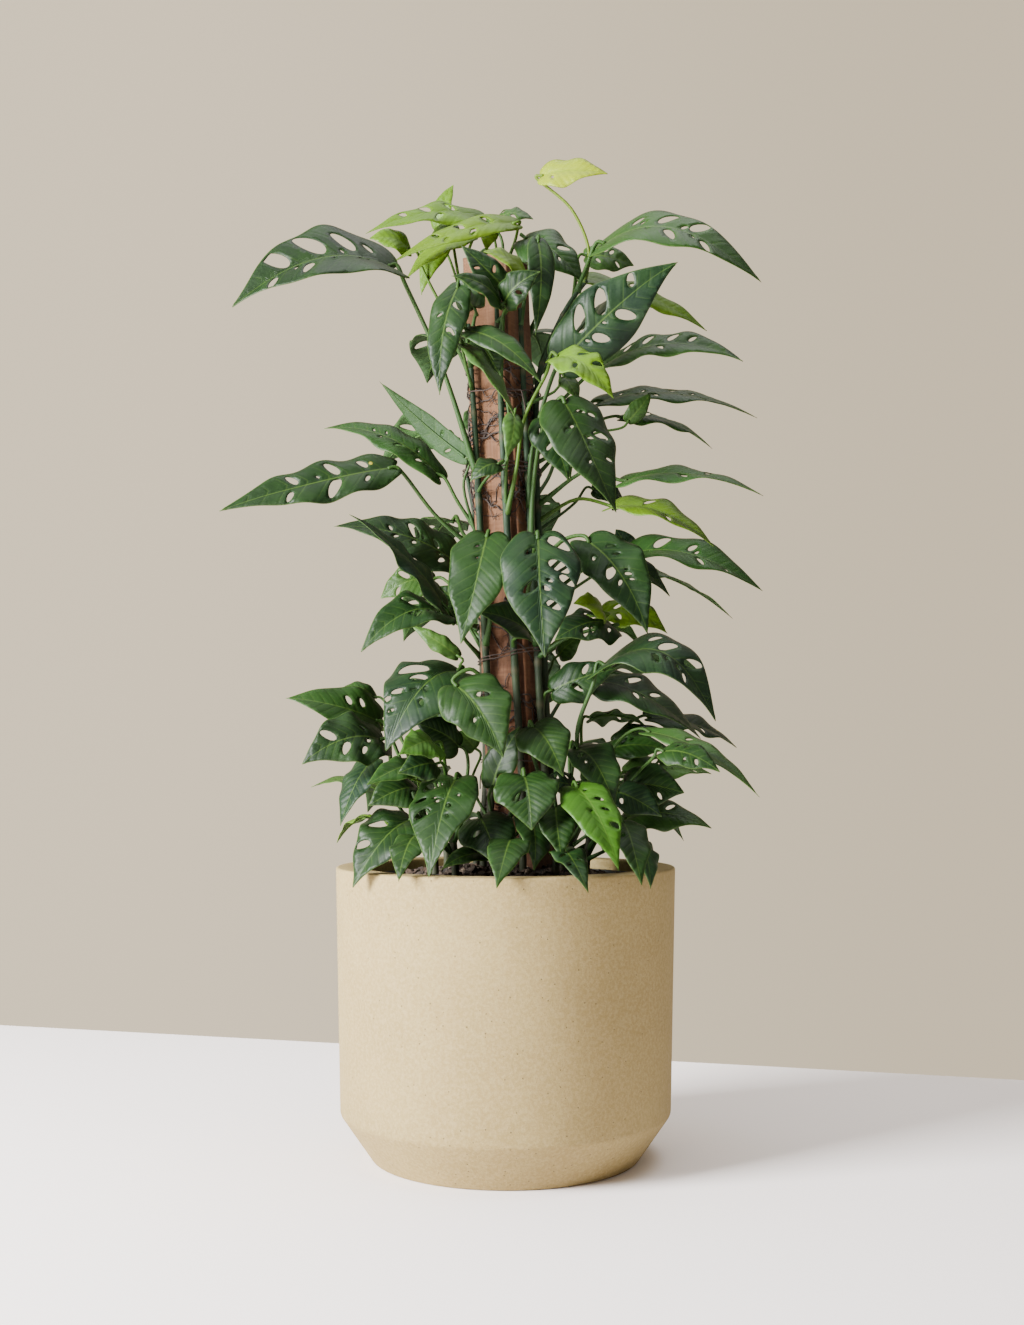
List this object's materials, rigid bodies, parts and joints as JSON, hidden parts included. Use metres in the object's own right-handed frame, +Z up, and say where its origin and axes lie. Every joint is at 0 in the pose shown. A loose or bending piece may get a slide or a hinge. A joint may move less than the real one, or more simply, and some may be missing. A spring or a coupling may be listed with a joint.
{
  "type": "potted swiss cheese vine",
  "caption": "Climbing house plant with oval leaves full of holes, tied to a rough square post in a grow pot inside a round planter with a tapered foot.",
  "frame": {"origin": "centre of the planter's flat foot, on the surface it stands on", "axes": "+Z up, -Y to the front as pictured, +X to the viewer's right"},
  "size_m": [0.5108, 0.3647, 0.9421],
  "materials": {
    "planter": "cast mineral composite, matt, fine grain with small dark specks",
    "grow_pot": "thin black plastic",
    "soil": "loose dark potting soil with bark chips; fabric stands in for soil",
    "post": "rough sawn, red brown",
    "foliage": "leathery leaf, satin upper side; fabric stands in for leaf"
  },
  "bodies": {
    "root": {"planter": "planter", "grow_pot": "grow_pot", "soil": "soil", "post": "post", "vine_front_left": "foliage", "vine_front": "foliage", "vine_front_right": "foliage", "vine_right": "foliage", "vine_back_right": "foliage", "vine_back": "foliage", "vine_back_left": "foliage", "vine_left": "foliage", "shoot_left": "foliage", "shoot_front_left": "foliage", "shoot_front": "foliage", "shoot_front_right": "foliage", "shoot_right": "foliage", "shoot_back_right": "foliage", "shoot_back": "foliage", "shoot_back_left": "foliage"}
  },
  "joints": []
}
